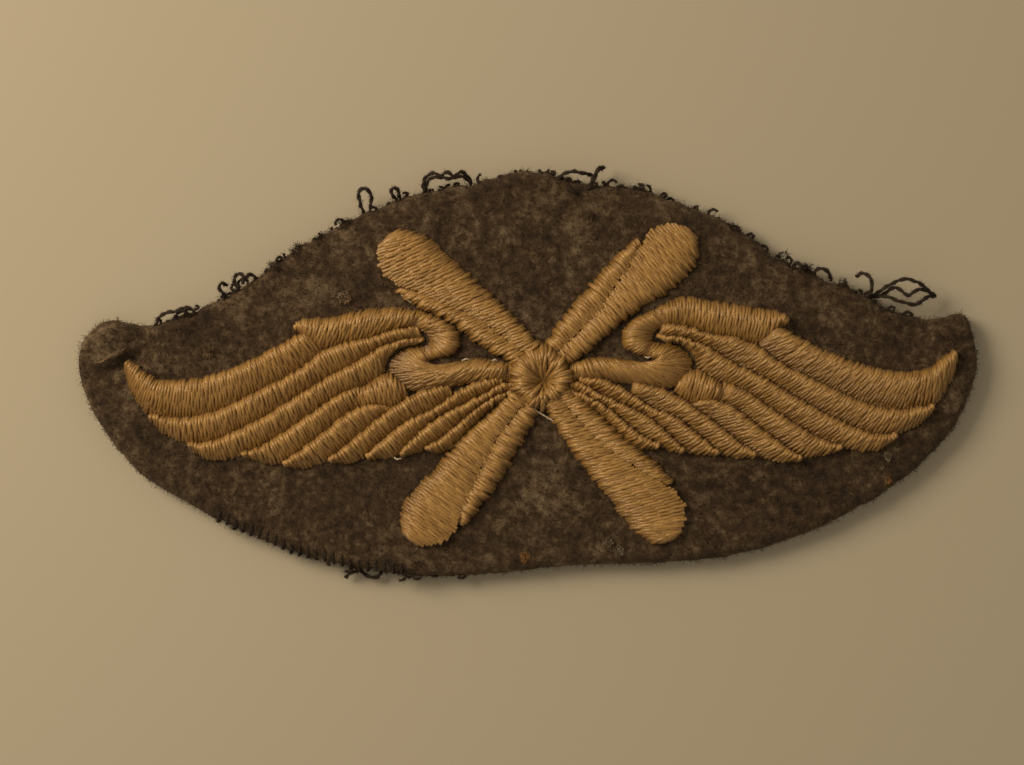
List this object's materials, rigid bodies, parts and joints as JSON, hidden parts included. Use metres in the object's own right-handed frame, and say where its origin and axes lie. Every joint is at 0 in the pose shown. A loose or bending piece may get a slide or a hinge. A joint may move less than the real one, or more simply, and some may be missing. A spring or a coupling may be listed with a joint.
{
  "type": "embroidered wings badge",
  "caption": "Embroidered cloth flight badge: a winged propeller in satin stitch on a pointed oval of wool cloth with a turned-under, tacked edge.",
  "frame": {"origin": "middle of the badge's box in plan, on the plane the turned-under edge lies on; the propeller hub is at about x +1.4 mm, y -0.3 mm", "axes": "+X along the wings towards the wearer's left as worn (right in a front view), +Y towards the top edge, +Z out of the embroidered face"},
  "size_m": [0.1, 0.046, 0.0041],
  "materials": {
    "wool_cloth": "milled wool, mottled brown-grey, matte and hairy",
    "gold_thread": "golden tan embroidery thread, soft sheen",
    "pale_thread": "pale embroidery thread end, soft sheen",
    "dark_thread": "dark sewing thread, matte",
    "gauze": "open cotton stiffening gauze, matte",
    "bobbin_thread": "off-white bobbin thread, matte"
  },
  "bodies": {
    "root": {"base_cloth": "wool_cloth", "backing_gauze": "gauze", "hub": "gold_thread", "jump_thread": "pale_thread", "bobbin_threads_hub": "bobbin_thread", "bobbin_threads_left_wing": "bobbin_thread", "bobbin_threads_right_wing": "bobbin_thread", "left_covert_bar": "gold_thread", "left_shoulder": "gold_thread", "left_inner_arm": "gold_thread", "left_tertial_patch": "gold_thread", "left_feather_1": "gold_thread", "left_feather_2": "gold_thread", "left_feather_3": "gold_thread", "left_feather_4": "gold_thread", "left_feather_5": "gold_thread", "left_feather_6": "gold_thread", "left_feather_7": "gold_thread", "left_feather_8": "gold_thread", "left_feather_9": "gold_thread", "right_covert_bar": "gold_thread", "right_shoulder": "gold_thread", "right_inner_arm": "gold_thread", "right_tertial_patch": "gold_thread", "right_feather_1": "gold_thread", "right_feather_2": "gold_thread", "right_feather_3": "gold_thread", "right_feather_4": "gold_thread", "right_feather_5": "gold_thread", "right_feather_6": "gold_thread", "right_feather_7": "gold_thread", "right_feather_8": "gold_thread", "right_feather_9": "gold_thread", "upper_right_blade_broad": "gold_thread", "upper_right_blade_narrow": "gold_thread", "upper_left_blade_broad": "gold_thread", "upper_left_blade_narrow": "gold_thread", "lower_left_blade_broad": "gold_thread", "lower_left_blade_narrow": "gold_thread", "lower_right_blade_broad": "gold_thread", "lower_right_blade_narrow": "gold_thread", "tacking_loop_left_end": "dark_thread", "tacking_loop_upper_left_low": "dark_thread", "tacking_loop_upper_left": "dark_thread", "tacking_loop_top_left": "dark_thread", "tacking_loop_top_right": "dark_thread", "tacking_loop_upper_right_low": "dark_thread", "tacking_loop_right_long": "dark_thread", "tacking_loop_bottom_left": "dark_thread"}
  },
  "joints": []
}
